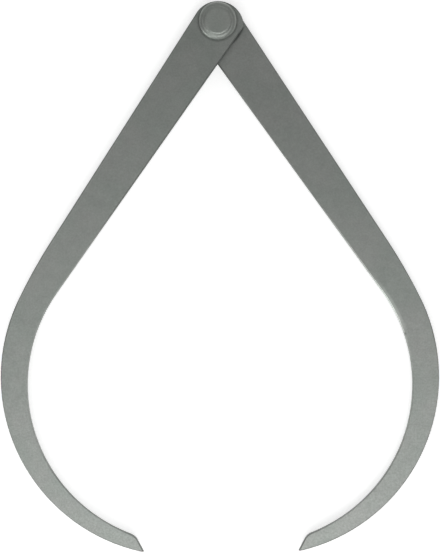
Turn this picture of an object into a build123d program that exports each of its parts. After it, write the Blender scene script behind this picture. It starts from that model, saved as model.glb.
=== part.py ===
"""Outside caliper with a riveted friction joint.

Two equal flat steel legs cross at their round eyes. The front leg bows out to -X and the rear leg, the same
leg turned over, to +X. A rivet with a stepped head clamps both eyes on a thin washer and a rear disc.

The origin is on the rivet's axis, on the outer face of the rear disc, which is the lowest face. +Z runs along
the rivet towards its head, and both measuring tips point to -Y. All lengths are in millimetres.
"""

import os
from math import acos, atan2, cos, degrees, hypot, radians, sin, sqrt

from build123d import *

# Leg, in its own frame: pivot at the origin, tip on the -Y axis, bow on the -X side
reach = 200.0  # pivot to measuring tip
leg_thickness = 3.0
eye_centre = (0.43, -2.1)
eye_radius = 9.62
shank_circle_centre = (-0.1, -1.1)  # both straight edges of the shank touch this circle
shank_circle_radius = 8.7
outer_bow_centre = (4.2, -133.6)
outer_bow_radius = 66.73
shoulder_radius = 205.0  # softer stretch between the straight shank and the outer bow
shoulder_angle = 162.3  # direction from the bow's centre where the shoulder begins
inner_bow_centre = (7.2, -136.2)
inner_bow_radius = 59.45
tip_width = 0.8  # blunt end of the measuring tip
tip_bevel_angle = 36.5  # ground face at the tip, from the line to the pivot
tip_rounding = 4.8
edge_bevel = 0.35
set_start = 22.0  # the leg is flat as far as this, then set towards the other leg
set_radius = 400.0

# Joint
half_opening = 8.33  # each leg's turn from the closed position
shank_radius = 3.0
fit_gap = 0.04  # radial room round the shank
washer_radius = 6.8
washer_thickness = 0.3
disc_radius = 7.2
disc_thickness = 1.8
disc_rounding = 0.7
head_radius = 7.25
head_height = 1.83
crease_radius = 5.5  # crease between the head's rounded rim and its crown
crease_height = 1.42
rim_rounding = 1.92
crown_radius = 4.45  # flat middle
crown_rounding = 1.55
tail_radius = 4.0  # the upset tail at the disc's outer face
tail_depth = 1.0

# Heights of the stack at the joint
rear_leg_bottom = disc_thickness
rear_leg_top = rear_leg_bottom + leg_thickness
front_leg_bottom = rear_leg_top + washer_thickness
front_leg_top = front_leg_bottom + leg_thickness
head_top = front_leg_top + head_height

# Both tips come into one plane when each leg is set by half the distance between them
set_slope = (leg_thickness + washer_thickness) / 2 / (reach - set_start)


def on_circle(centre, radius, angle):
    """Point of a circle in the direction of an angle in degrees."""
    return (centre[0] + radius * cos(radians(angle)), centre[1] + radius * sin(radians(angle)))


def tangent_angle(centre_1, radius_1, centre_2, radius_2, side):
    """Direction of the normal of a line that touches two circles.

    A radius is negative where the line has the circle on its other side. side picks one of the two lines.
    """
    across, along = centre_2[0] - centre_1[0], centre_2[1] - centre_1[1]
    turn = acos((radius_1 - radius_2) / hypot(across, along))
    return degrees(atan2(along, across) + side * turn)


def line_meets_circle(point, angle, centre, radius):
    """First point where a line from a point, in the direction of an angle, meets a circle."""
    ray = (cos(radians(angle)), sin(radians(angle)))
    to_point = (point[0] - centre[0], point[1] - centre[1])
    half = ray[0] * to_point[0] + ray[1] * to_point[1]
    gap = to_point[0] ** 2 + to_point[1] ** 2 - radius**2
    distance = -half - sqrt(half**2 - gap)
    return (point[0] + distance * ray[0], point[1] + distance * ray[1])


def angle_at(centre, point):
    """Direction from a centre to a point, from 0 to 360 degrees."""
    return degrees(atan2(point[1] - centre[1], point[0] - centre[0])) % 360


def eye_corner(normal, outward):
    """Corner where a straight edge of the shank, followed outward, ends on the eye's round."""
    touching = on_circle(shank_circle_centre, shank_circle_radius, normal)
    beyond = on_circle(touching, 2 * eye_radius, outward)
    return line_meets_circle(beyond, outward + 180, eye_centre, eye_radius)


# Points where the lines and arcs of the leg's outline join
shoulder_centre = on_circle(outer_bow_centre, outer_bow_radius - shoulder_radius, shoulder_angle)
outer_normal = tangent_angle(shank_circle_centre, shank_circle_radius, shoulder_centre, shoulder_radius, -1) % 360
inner_normal = tangent_angle(shank_circle_centre, shank_circle_radius, inner_bow_centre, -inner_bow_radius, 1)
outer_corner = eye_corner(outer_normal, outer_normal - 90)
inner_corner = eye_corner(inner_normal, inner_normal + 90)
tip_inside = (0, -reach)
tip_outside_x = -tip_width
tip_outside_y = outer_bow_centre[1] - sqrt(outer_bow_radius**2 - (tip_outside_x - outer_bow_centre[0]) ** 2)
tip_outside = (tip_outside_x, tip_outside_y)
bevel_end = line_meets_circle(tip_inside, 90 + tip_bevel_angle, inner_bow_centre, inner_bow_radius)

with BuildPart() as leg:
    # Outline, in the eye's plane
    with BuildSketch():
        with BuildLine():
            CenterArc(
                eye_centre,
                eye_radius,
                angle_at(eye_centre, inner_corner),
                angle_at(eye_centre, outer_corner) - angle_at(eye_centre, inner_corner),
            )
            Line(outer_corner, on_circle(shoulder_centre, shoulder_radius, outer_normal))
            CenterArc(shoulder_centre, shoulder_radius, outer_normal, shoulder_angle - outer_normal)
            CenterArc(
                outer_bow_centre,
                outer_bow_radius,
                shoulder_angle,
                angle_at(outer_bow_centre, tip_outside) - shoulder_angle,
            )
            Line(tip_outside, tip_inside)
            Line(tip_inside, bevel_end)
            CenterArc(
                inner_bow_centre,
                inner_bow_radius,
                angle_at(inner_bow_centre, bevel_end),
                inner_normal + 180 - angle_at(inner_bow_centre, bevel_end),
            )
            Line(on_circle(inner_bow_centre, inner_bow_radius, inner_normal + 180), inner_corner)
        make_face()
    extrude(amount=2 * leg_thickness, both=True)

    # Side profile, from beyond the eye to past the tip: flat at the eye, a gentle bend, then a straight run
    with BuildSketch(Plane.YZ):
        with BuildLine():
            lower = FilletPolyline(
                (2 * eye_radius, 0),
                (-set_start, 0),
                (-set_start - reach, -set_slope * reach),
                radius=set_radius,
            )
            upper = FilletPolyline(
                (2 * eye_radius, leg_thickness),
                (-set_start, leg_thickness),
                (-set_start - reach, leg_thickness - set_slope * reach),
                radius=set_radius,
            )
            Line(lower @ 0, upper @ 0)
            Line(lower @ 1, upper @ 1)
        make_face()
    extrude(amount=reach, both=True, mode=Mode.INTERSECT)

    # Rounding between the inner bow and the ground face of the tip, then the broken edges
    bevel_corner = leg.edges().filter_by(Axis.Z).sort_by_distance((*bevel_end, 0))[0]
    fillet(bevel_corner, tip_rounding)
    chamfer(leg.edges().filter_by(Axis.Z, reverse=True), edge_bevel)
    with Locations((0, 0, leg_thickness)):
        Hole(shank_radius + fit_gap)

with BuildPart() as front_leg:
    with Locations(Location((0, 0, front_leg_bottom), (0, 0, -half_opening))):
        add(leg.part)

# The same leg, turned over
with BuildPart() as rear_leg:
    with Locations(Location((0, 0, rear_leg_top), (0, 0, half_opening)) * Location((0, 0, 0), (0, 180, 0))):
        add(leg.part)

with BuildPart() as friction_washer:
    with BuildSketch(Plane.XY.offset(rear_leg_top)):
        Circle(washer_radius)
        Circle(shank_radius + fit_gap, mode=Mode.SUBTRACT)
    extrude(amount=washer_thickness)

# Disc under the rear leg, countersunk for the rivet's tail
with BuildPart() as rear_disc:
    with BuildSketch(Plane.XY):
        Circle(disc_radius)
    extrude(amount=disc_thickness)
    fillet(rear_disc.faces().sort_by(Axis.Z)[0].edges(), disc_rounding)
    with BuildSketch(Plane.XZ):
        with BuildLine():
            Polyline(
                (0, 0),
                (tail_radius + fit_gap, 0),
                (shank_radius + fit_gap, tail_depth),
                (shank_radius + fit_gap, disc_thickness),
                (0, disc_thickness),
                close=True,
            )
        make_face()
    revolve(axis=Axis.Z, mode=Mode.SUBTRACT)

# Rivet: upset tail, shank, and a head with a rounded rim, a crease and a flat-topped crown
with BuildPart() as joint_rivet:
    with BuildSketch(Plane.XZ):
        with BuildLine():
            Polyline(
                (0, 0),
                (tail_radius, 0),
                (shank_radius, tail_depth),
                (shank_radius, front_leg_top),
                (head_radius, front_leg_top),
            )
            rim = RadiusArc(
                (head_radius, front_leg_top), (crease_radius, front_leg_top + crease_height), -rim_rounding
            )
            crown = RadiusArc(rim @ 1, (crown_radius, head_top), -crown_rounding)
            Polyline(crown @ 1, (0, head_top), (0, 0))
        make_face()
    revolve(axis=Axis.Z)

os.makedirs("parts", exist_ok=True)
front_leg.part.label = "front_leg"
rear_leg.part.label = "rear_leg"
friction_washer.part.label = "friction_washer"
rear_disc.part.label = "rear_disc"
joint_rivet.part.label = "joint_rivet"
for piece in (front_leg, rear_leg, friction_washer, rear_disc, joint_rivet):
    export_step(piece.part, f"parts/{piece.part.label}.step")
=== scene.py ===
from math import cos, radians, sin

import bpy
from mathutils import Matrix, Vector


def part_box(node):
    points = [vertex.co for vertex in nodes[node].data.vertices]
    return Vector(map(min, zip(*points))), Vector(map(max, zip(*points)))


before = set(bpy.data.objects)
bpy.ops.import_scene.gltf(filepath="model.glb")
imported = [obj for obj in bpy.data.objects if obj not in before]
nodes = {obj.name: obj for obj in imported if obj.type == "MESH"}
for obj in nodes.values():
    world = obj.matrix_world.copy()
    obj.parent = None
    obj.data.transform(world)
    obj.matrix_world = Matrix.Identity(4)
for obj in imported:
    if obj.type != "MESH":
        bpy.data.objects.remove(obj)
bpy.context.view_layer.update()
scene = bpy.context.scene

# Photograph and camera, in pixels and metres
photo_width = 440
photo_height = 552
pixels_per_metre = 2677.0  # at the camera's reference plane
reference_plane = 0.0065
camera_distance = 0.65  # from that plane
pivot_pixel = (217.7, 21.6)
picture_turn = radians(0.385)
sensor_height = 24.0
clip_start = 0.01
clip_end = 50

# Studio: each part of the sky goes from its first to its second strength along a direction
dome = (0.0, 0.6, (0.0, 1.0, 0.0))
horizon = (0.6, 1.4, (0.6, -0.8, 0.0))
horizon_top = 0.5  # height on the unit sphere at which the dome has taken over
floor_half = 12.0
floor_gap = 0.0001
floor_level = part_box("rear_disc")[0].z - floor_gap
floor_colour = 0.95
floor_glow = 0.48  # brings the floor to white where it is seen, and lights nothing
lamp_target = (0, -0.10, 0)  # the middle of the object
lamps = (
    # name, place, size, power
    ("overhead", (0.0, -0.60, 1.10), 0.9, 4.4),
    ("right", (0.4, -0.60, 1.10), 0.9, 1.1),
    ("key", (-0.55, -1.05, 0.60), 0.5, 1.8),
    ("low", (-0.9, -0.7, 0.3), 0.4, 1.45),
)

# Colours and roughness
leg_grey = (0.281, 0.301, 0.283)
leg_roughness = 0.40
rivet_grey = (0.304, 0.326, 0.305)
rivet_roughness = 0.44
brass_yellow = (0.62, 0.46, 0.22)
brass_roughness = 0.35
edge_tint = 0.7  # grey of the metal's reflection at a glancing view

# Spans of a noise's values that are mapped to its effect: the narrower, the harder its patches
narrow_noise = (0.35, 0.65)
middle_noise = (0.3, 0.7)
wide_noise = (0.25, 0.75)

# Satin metal. Scales of noise are per metre, lengths are in metres, and shades are factors of the colour.
cool_tint = (0.97, 0.98, 0.97)
warm_tint = (1.05, 1.02, 1.03)
tint_scale = 70.0
mottle_scale = 1500.0
mottle_span = (0.09, 0.19)  # along the leg, over which the mottling grows stronger, as painted glint towards the tips
mottle_swing = (0.09, 0.17)
patch_scale = 320.0
patch_shades = (0.96, 1.04)
grain_scale = 4000.0
grain_strength = 0.25
grain_depth = 0.00003
grain_gloss = 0.04
scratch_angles = (12, 74, 133)
scratch_scales = (2600.0, 45.0)  # across and along the scratches
scratch_span = (0.70, 0.76)
scratch_shade = 1.06
scratch_gloss = 0.06
ring_scale = 7000.0
ring_strength = 0.12
ring_depth = 0.00002

# Upright share of the normal, from a wall to a broken edge and from there to a flat face
edge_share = (0.3, 0.6)
face_share = (0.9, 0.97)
top_share = (-0.1, 0.1)  # from the undersides to the upper sides

# Painted shade and highlight, and wear. Distances are in metres.
wear_scale = 400.0
wear_swing = (0.92, 1.08)
bow_centre = (0.0126, 0.1358, 0)  # of the inner bow, without its signs
highlight_span = (0.0598, 0.072)  # from that centre, from painted highlight to painted shade
tip_span = (0.150, 0.172)  # along the leg, from painted highlight to painted shade
low_span = (0.100, 0.170)  # along the leg, over which the painted shade on the edges grows lighter
# Painted shade of the broken edges, near the joint and near the tips, and painted highlight of the edges inside
# the bow
painted_edge_shades = (0.52, 0.80)
painted_edge_highlight = 1.15
wall_shades = (0.72, 1.35)  # painted shade and painted highlight
seam_shade_span = (0.014, 0.028)  # from the joint's axis, from painted shade on the walls to none
seam_shade_depth = 0.38
seam_shade_scale = 900.0
seam_shade_swing = (0.75, 1.25)
front_joint_shade = (0.0075, 0.78)  # radius round the joint's axis of the painted shade on the front leg's face round the rivet head, and its shade
# painted shade on the rear leg's face round the joint's axis, along the seam beside the front leg
rear_joint_shade = (0.0095, 0.55)
under_joint_shade = 0.86  # shade of the fainter painted shade round the joint on the undersides
joint_shade_fade = 0.0005
rubbed_place = (0.0625, -0.1065, 0)  # on the inner bow of the rear leg
rub_span = (0.004, 0.016)  # from that place, from bright to plain
rub_margin = (0.0603, 0.0611)  # from the bow's centre, over which the rubbing fades on the face
rub_shade = 1.45
nick_place = (0.0693, -0.1171, 0)  # tiny nick in the inner edge of the rear leg
nick_span = (0.0001, 0.0007)  # from that place, from dark to plain
nick_shade = 0.55
foot_span = (0.0073, 0.0092)  # from the joint's axis, over which painted shade lies on the edges round the rivet head
foot_shade = 0.55
rim_shade = 0.9  # painted shade on the rivet's rounded edges, which dims their highlights

# Brass sheet
tarnish_scale = 500.0
tarnish_span = (0.4, 0.7)
tarnish_tint = (0.72, 0.68, 0.7)
rolling_angle = 20
rolling_scales = (5000.0, 150.0)  # across and along the streaks
rolling_shades = (0.92, 1.08)
rolling_gloss = (-0.05, 0.08)
rolling_strength = 0.2
rolling_depth = 0.00001


def make_camera():
    """Camera that looks straight down, with the whole picture centred on the photograph's middle."""
    right = (photo_width / 2 - pivot_pixel[0]) / pixels_per_metre
    up = -(photo_height / 2 - pivot_pixel[1]) / pixels_per_metre
    turn_cos = cos(picture_turn)
    turn_sin = sin(picture_turn)
    data = bpy.data.cameras.new("camera")
    data.sensor_fit = "VERTICAL"
    data.sensor_height = sensor_height
    data.lens = sensor_height * camera_distance * pixels_per_metre / photo_height
    data.clip_start = clip_start
    data.clip_end = clip_end
    camera = bpy.data.objects.new("camera", data)
    camera.location = (
        turn_cos * right + turn_sin * up,
        turn_cos * up - turn_sin * right,
        reference_plane + camera_distance,
    )
    camera.rotation_euler = (0, 0, -picture_turn)
    scene.collection.objects.link(camera)
    scene.camera = camera


class Tree:
    """A node tree, with short calls that add a node and link what feeds it."""

    def __init__(self, owner):
        owner.use_nodes = True
        self.tree = owner.node_tree
        self.tree.nodes.clear()

    def add(self, kind, feeds=None, **values):
        """New node. feeds gives each input by name or number: an output socket to link, or a value."""
        made = self.tree.nodes.new(kind)
        for name, value in values.items():
            setattr(made, name, value)
        for name, value in (feeds or {}).items():
            if isinstance(value, bpy.types.NodeSocket):
                self.tree.links.new(value, made.inputs[name])
            else:
                made.inputs[name].default_value = value
        return made

    def math(self, operation, first, second=0.0):
        return self.add("ShaderNodeMath", {0: first, 1: second}, operation=operation).outputs[0]

    def times(self, first, second):
        return self.math("MULTIPLY", first, second)

    def vector_math(self, operation, first, second=(0, 0, 0), output="Vector"):
        return self.add("ShaderNodeVectorMath", {0: first, 1: second}, operation=operation).outputs[output]

    def part(self, vector, name):
        """X, Y or Z of a vector."""
        return self.add("ShaderNodeSeparateXYZ", {"Vector": vector}).outputs[name]

    def ramp(self, value, low, high, first=0.0, last=1.0, kind="LINEAR"):
        """A value's way from low to high, mapped to first to last and held there."""
        feeds = {"Value": value, "From Min": low, "From Max": high, "To Min": first, "To Max": last}
        return self.add("ShaderNodeMapRange", feeds, interpolation_type=kind).outputs["Result"]

    def between(self, factor, first, second):
        """A number's way from first to second."""
        return self.add("ShaderNodeMix", {"Factor": factor, 2: first, 3: second}).outputs[0]

    def mix(self, factor, first, second, blend="MIX"):
        """Two colours mixed."""
        feeds = {0: factor, 6: first, 7: second}
        return self.add("ShaderNodeMix", feeds, data_type="RGBA", blend_type=blend).outputs[2]

    def noise(self, place, scale, detail=3.0, roughness=0.6):
        feeds = {"Vector": place, "Scale": scale, "Detail": detail, "Roughness": roughness}
        return self.add("ShaderNodeTexNoise", feeds).outputs["Fac"]

    def streaks(self, place, angle, across, along):
        """Noise drawn out along a line at an angle in the XY plane, by its scales across and along the line."""
        feeds = {"Vector": place, "Angle": radians(-angle)}
        turned = self.add("ShaderNodeVectorRotate", feeds, rotation_type="Z_AXIS").outputs[0]
        return self.noise(self.vector_math("MULTIPLY", turned, (along, across, across)), 1.0, 2.0)

    def from_axis(self, place, centre=(0, 0, 0)):
        """Distance in the XY plane from an upright axis through a point."""
        flat = self.vector_math("MULTIPLY", self.vector_math("SUBTRACT", place, centre), (1, 1, 0))
        return self.vector_math("LENGTH", flat, output="Value")

    def bump(self, height, strength, depth, normal=None):
        feeds = {"Strength": strength, "Distance": depth, "Height": height}
        if normal:
            feeds["Normal"] = normal
        return self.add("ShaderNodeBump", feeds).outputs["Normal"]


def make_world():
    """Studio round the object: a dome over a horizon, each brighter to one side."""
    world = bpy.data.worlds.new("studio")
    scene.world = world
    tree = Tree(world)
    direction = tree.add("ShaderNodeTexCoord").outputs["Generated"]
    parts = []
    for low, high, towards in (horizon, dome):
        along = tree.vector_math("DOT_PRODUCT", direction, Vector(towards).normalized(), "Value")
        parts.append(tree.ramp(along, -1.0, 1.0, low, high))
    over = tree.ramp(tree.part(direction, "Z"), 0.0, horizon_top, kind="SMOOTHSTEP")
    feeds = {"Color": (1, 1, 1, 1), "Strength": tree.between(over, *parts)}
    background = tree.add("ShaderNodeBackground", feeds)
    tree.add("ShaderNodeOutputWorld", {"Surface": background.outputs[0]})


def make_lamp(name, place, size, power):
    """Square soft lamp that points at the lamps' target, and that no camera sees."""
    data = bpy.data.lights.new(name, "AREA")
    data.shape = "SQUARE"
    data.size = size
    data.energy = power
    lamp = bpy.data.objects.new(name, data)
    lamp.location = place
    lamp.rotation_euler = (Vector(lamp_target) - Vector(place)).to_track_quat("-Z", "Y").to_euler()
    lamp.visible_camera = False
    scene.collection.objects.link(lamp)


def make_floor():
    """Plain white floor that keeps the object's shadow."""
    mesh = bpy.data.meshes.new("floor")
    signs = ((-1, -1), (1, -1), (1, 1), (-1, 1))
    corners = [(x * floor_half, y * floor_half, floor_level) for x, y in signs]
    mesh.from_pydata(corners, [], [(0, 1, 2, 3)])
    floor = bpy.data.objects.new("floor", mesh)
    scene.collection.objects.link(floor)
    material = bpy.data.materials.new("floor_white")
    tree = Tree(material)
    paint = tree.add("ShaderNodeBsdfDiffuse", {"Color": (floor_colour, floor_colour, floor_colour, 1)})
    path = tree.add("ShaderNodeLightPath").outputs
    seen = tree.math("MAXIMUM", path["Is Camera Ray"], path["Is Glossy Ray"])
    seen = tree.math("MAXIMUM", seen, path["Is Transmission Ray"])
    feeds = {"Color": (1, 1, 1, 1), "Strength": tree.times(seen, floor_glow)}
    glow = tree.add("ShaderNodeEmission", feeds)
    total = tree.add("ShaderNodeAddShader", {0: paint.outputs[0], 1: glow.outputs[0]})
    tree.add("ShaderNodeOutputMaterial", {"Surface": total.outputs[0]})
    mesh.materials.append(material)


def leg_shade_and_wear(tree, at, used):
    """Shades of a leg's broken edges, walls and faces.

    The edges carry a painted highlight inside the bow and painted shade elsewhere, darker round the rivet head,
    and the walls carry painted shade at the joint. A used leg is also rubbed bright at one place, and has a
    nick.
    """
    from_joint = tree.from_axis(at)
    mirrored = tree.vector_math("ABSOLUTE", at)
    out = tree.from_axis(mirrored, bow_centre)
    down = tree.part(mirrored, "Y")
    # Painted highlight on the edges and walls inside the bow, and painted shade elsewhere, lighter towards the
    # tips
    highlight_mask = tree.times(tree.ramp(out, *highlight_span, 1.0, 0.0), tree.ramp(down, *tip_span, 1.0, 0.0))
    shaded_edge = tree.ramp(down, *low_span, *painted_edge_shades)
    edge = tree.between(highlight_mask, shaded_edge, painted_edge_highlight)
    # Painted shade on the edges round the rivet head
    edge = tree.times(edge, tree.ramp(from_joint, *foot_span, foot_shade, 1.0))
    wall = tree.ramp(highlight_mask, 0.0, 1.0, *wall_shades)
    # Painted shade on the walls near the joint, where the legs overlap, broken up by noise
    patchy = tree.ramp(tree.noise(at, seam_shade_scale, 3.0), *narrow_noise, *seam_shade_swing)
    seam_shade = tree.ramp(from_joint, *seam_shade_span, tree.times(patchy, seam_shade_depth), 1.0, "SMOOTHSTEP")
    wall = tree.times(wall, seam_shade)
    if not used:
        return edge, wall, 1.0
    near = tree.ramp(tree.from_axis(at, rubbed_place), *rub_span, 1.0, 0.0, "SMOOTHSTEP")
    rub = tree.ramp(near, 0.0, 1.0, 1.0, rub_shade)
    margin = tree.times(near, tree.ramp(out, *rub_margin, 1.0, 0.0))
    face = tree.ramp(margin, 0.0, 1.0, 1.0, rub_shade)
    nick = tree.ramp(tree.from_axis(at, nick_place), *nick_span, nick_shade, 1.0)
    edge = tree.times(tree.times(edge, rub), nick)
    wall = tree.times(tree.times(wall, rub), nick)
    return edge, wall, tree.times(face, nick)


def satin_metal(name, colour, roughness, joint_shade=None, used=False):
    """Satin plated steel: soft clouds, fine mottling that is partly painted glint, a fine blasted grain,
    hairline scratches, and edges with painted shade and highlight.

    The last two arguments are for a leg: the first of them gives the radius and shade of a painted shade round
    the joint's axis. A piece without it is a turned one.
    """
    material = bpy.data.materials.new(name)
    tree = Tree(material)
    place = tree.add("ShaderNodeTexCoord").outputs
    at = place["Object"]
    grain = tree.noise(at, grain_scale, 4.0, 0.7)

    # Colour and fine shades of the bare metal
    cool, warm = ((*(c * t for c, t in zip(colour, tint)), 1) for tint in (cool_tint, warm_tint))
    tone = tree.mix(tree.ramp(tree.noise(at, tint_scale, 2.0), *narrow_noise), cool, warm)
    down = tree.math("ABSOLUTE", tree.part(at, "Y"))
    # Random mottling, growing stronger towards the tips as painted glint
    mottle = tree.ramp(tree.noise(at, mottle_scale, 3.0), *wide_noise, -1.0, 1.0)
    mottle = tree.times(mottle, tree.ramp(down, *mottle_span, *mottle_swing))
    patches = tree.ramp(tree.noise(at, patch_scale, 2.0), *middle_noise, *patch_shades)
    shade = tree.math("ADD", mottle, patches)

    # Broken edges and walls, with painted shade and highlight, and wear that comes and goes along them
    upward = tree.part(place["Normal"], "Z")
    facing = tree.math("ABSOLUTE", upward)
    # Painted shade and highlight on a leg's edges and walls; painted shade on a turned piece's rounded edges
    edge, wall, face = leg_shade_and_wear(tree, at, used) if joint_shade else (rim_shade, 1.0, 1.0)
    edge_shade_and_wear = tree.between(tree.ramp(facing, *edge_share), wall, edge)
    edge_shade_and_wear = tree.times(edge_shade_and_wear, tree.ramp(tree.noise(at, wear_scale, 2.0), *narrow_noise, *wear_swing))
    # Painted shade round the joint's axis, fainter on the undersides
    if joint_shade:
        joint_shade_radius, top_joint_shade = joint_shade
        joint_shade_depth = tree.ramp(upward, *top_share, under_joint_shade, top_joint_shade)
        joint_shade_mask = tree.ramp(tree.from_axis(at), joint_shade_radius, joint_shade_radius + joint_shade_fade, joint_shade_depth, 1.0)
        face = tree.times(joint_shade_mask, face)
    shade = tree.times(shade, tree.between(tree.ramp(facing, *face_share), edge_shade_and_wear, face))

    # Hairline scratches, a little lighter and smoother than the metal
    scratch = 0.0
    for angle in scratch_angles:
        line = tree.ramp(tree.streaks(at, angle, *scratch_scales), *scratch_span)
        scratch = tree.math("MAXIMUM", scratch, line)
    shade = tree.times(shade, tree.ramp(scratch, 0.0, 1.0, 1.0, scratch_shade))
    tone = tree.mix(1.0, tone, shade, "MULTIPLY")
    gloss = tree.ramp(grain, *middle_noise, roughness - grain_gloss, roughness + grain_gloss)
    gloss = tree.math("SUBTRACT", gloss, tree.times(scratch, scratch_gloss))

    normal = tree.bump(grain, grain_strength, grain_depth)
    if not joint_shade:
        # Fine rings left by the lathe
        out = tree.add("ShaderNodeCombineXYZ", {"X": tree.from_axis(at)}).outputs["Vector"]
        normal = tree.bump(tree.noise(out, ring_scale, 2.0), ring_strength, ring_depth, normal)
    feeds = {
        "Metallic": 1.0,
        "Base Color": tone,
        "Roughness": gloss,
        "Specular Tint": (edge_tint, edge_tint, edge_tint, 1),
        "Normal": normal,
    }
    shader = tree.add("ShaderNodeBsdfPrincipled", feeds)
    tree.add("ShaderNodeOutputMaterial", {"Surface": shader.outputs[0]})
    return material


def rolled_brass(name, colour, roughness):
    """Thin rolled brass sheet: long rolling streaks and a little tarnish."""
    material = bpy.data.materials.new(name)
    tree = Tree(material)
    at = tree.add("ShaderNodeTexCoord").outputs["Object"]
    tarnish = tree.ramp(tree.noise(at, tarnish_scale, 3.0), *tarnish_span)
    shaded_edge = (*(c * t for c, t in zip(colour, tarnish_tint)), 1)
    rolled = tree.streaks(at, rolling_angle, *rolling_scales)
    tone = tree.mix(tarnish, (*colour, 1), shaded_edge)
    tone = tree.mix(1.0, tone, tree.ramp(rolled, *middle_noise, *rolling_shades), "MULTIPLY")
    gloss = tree.ramp(rolled, *middle_noise, *(roughness + change for change in rolling_gloss))
    normal = tree.bump(rolled, rolling_strength, rolling_depth)
    feeds = {"Metallic": 1.0, "Base Color": tone, "Roughness": gloss, "Normal": normal}
    shader = tree.add("ShaderNodeBsdfPrincipled", feeds)
    tree.add("ShaderNodeOutputMaterial", {"Surface": shader.outputs[0]})
    return material


def dress(node_name, material):
    nodes[node_name].material_slots[0].material = material


make_camera()
make_world()
make_floor()
for lamp_values in lamps:
    make_lamp(*lamp_values)

rivet_satin = satin_metal("rivet_satin", rivet_grey, rivet_roughness)
dress("front_leg", satin_metal("front_satin", leg_grey, leg_roughness, front_joint_shade))
dress("rear_leg", satin_metal("rear_satin", leg_grey, leg_roughness, rear_joint_shade, used=True))
dress("joint_rivet", rivet_satin)
dress("rear_disc", rivet_satin)
dress("friction_washer", rolled_brass("washer_brass_sheet", brass_yellow, brass_roughness))

scene.view_settings.view_transform = "Standard"
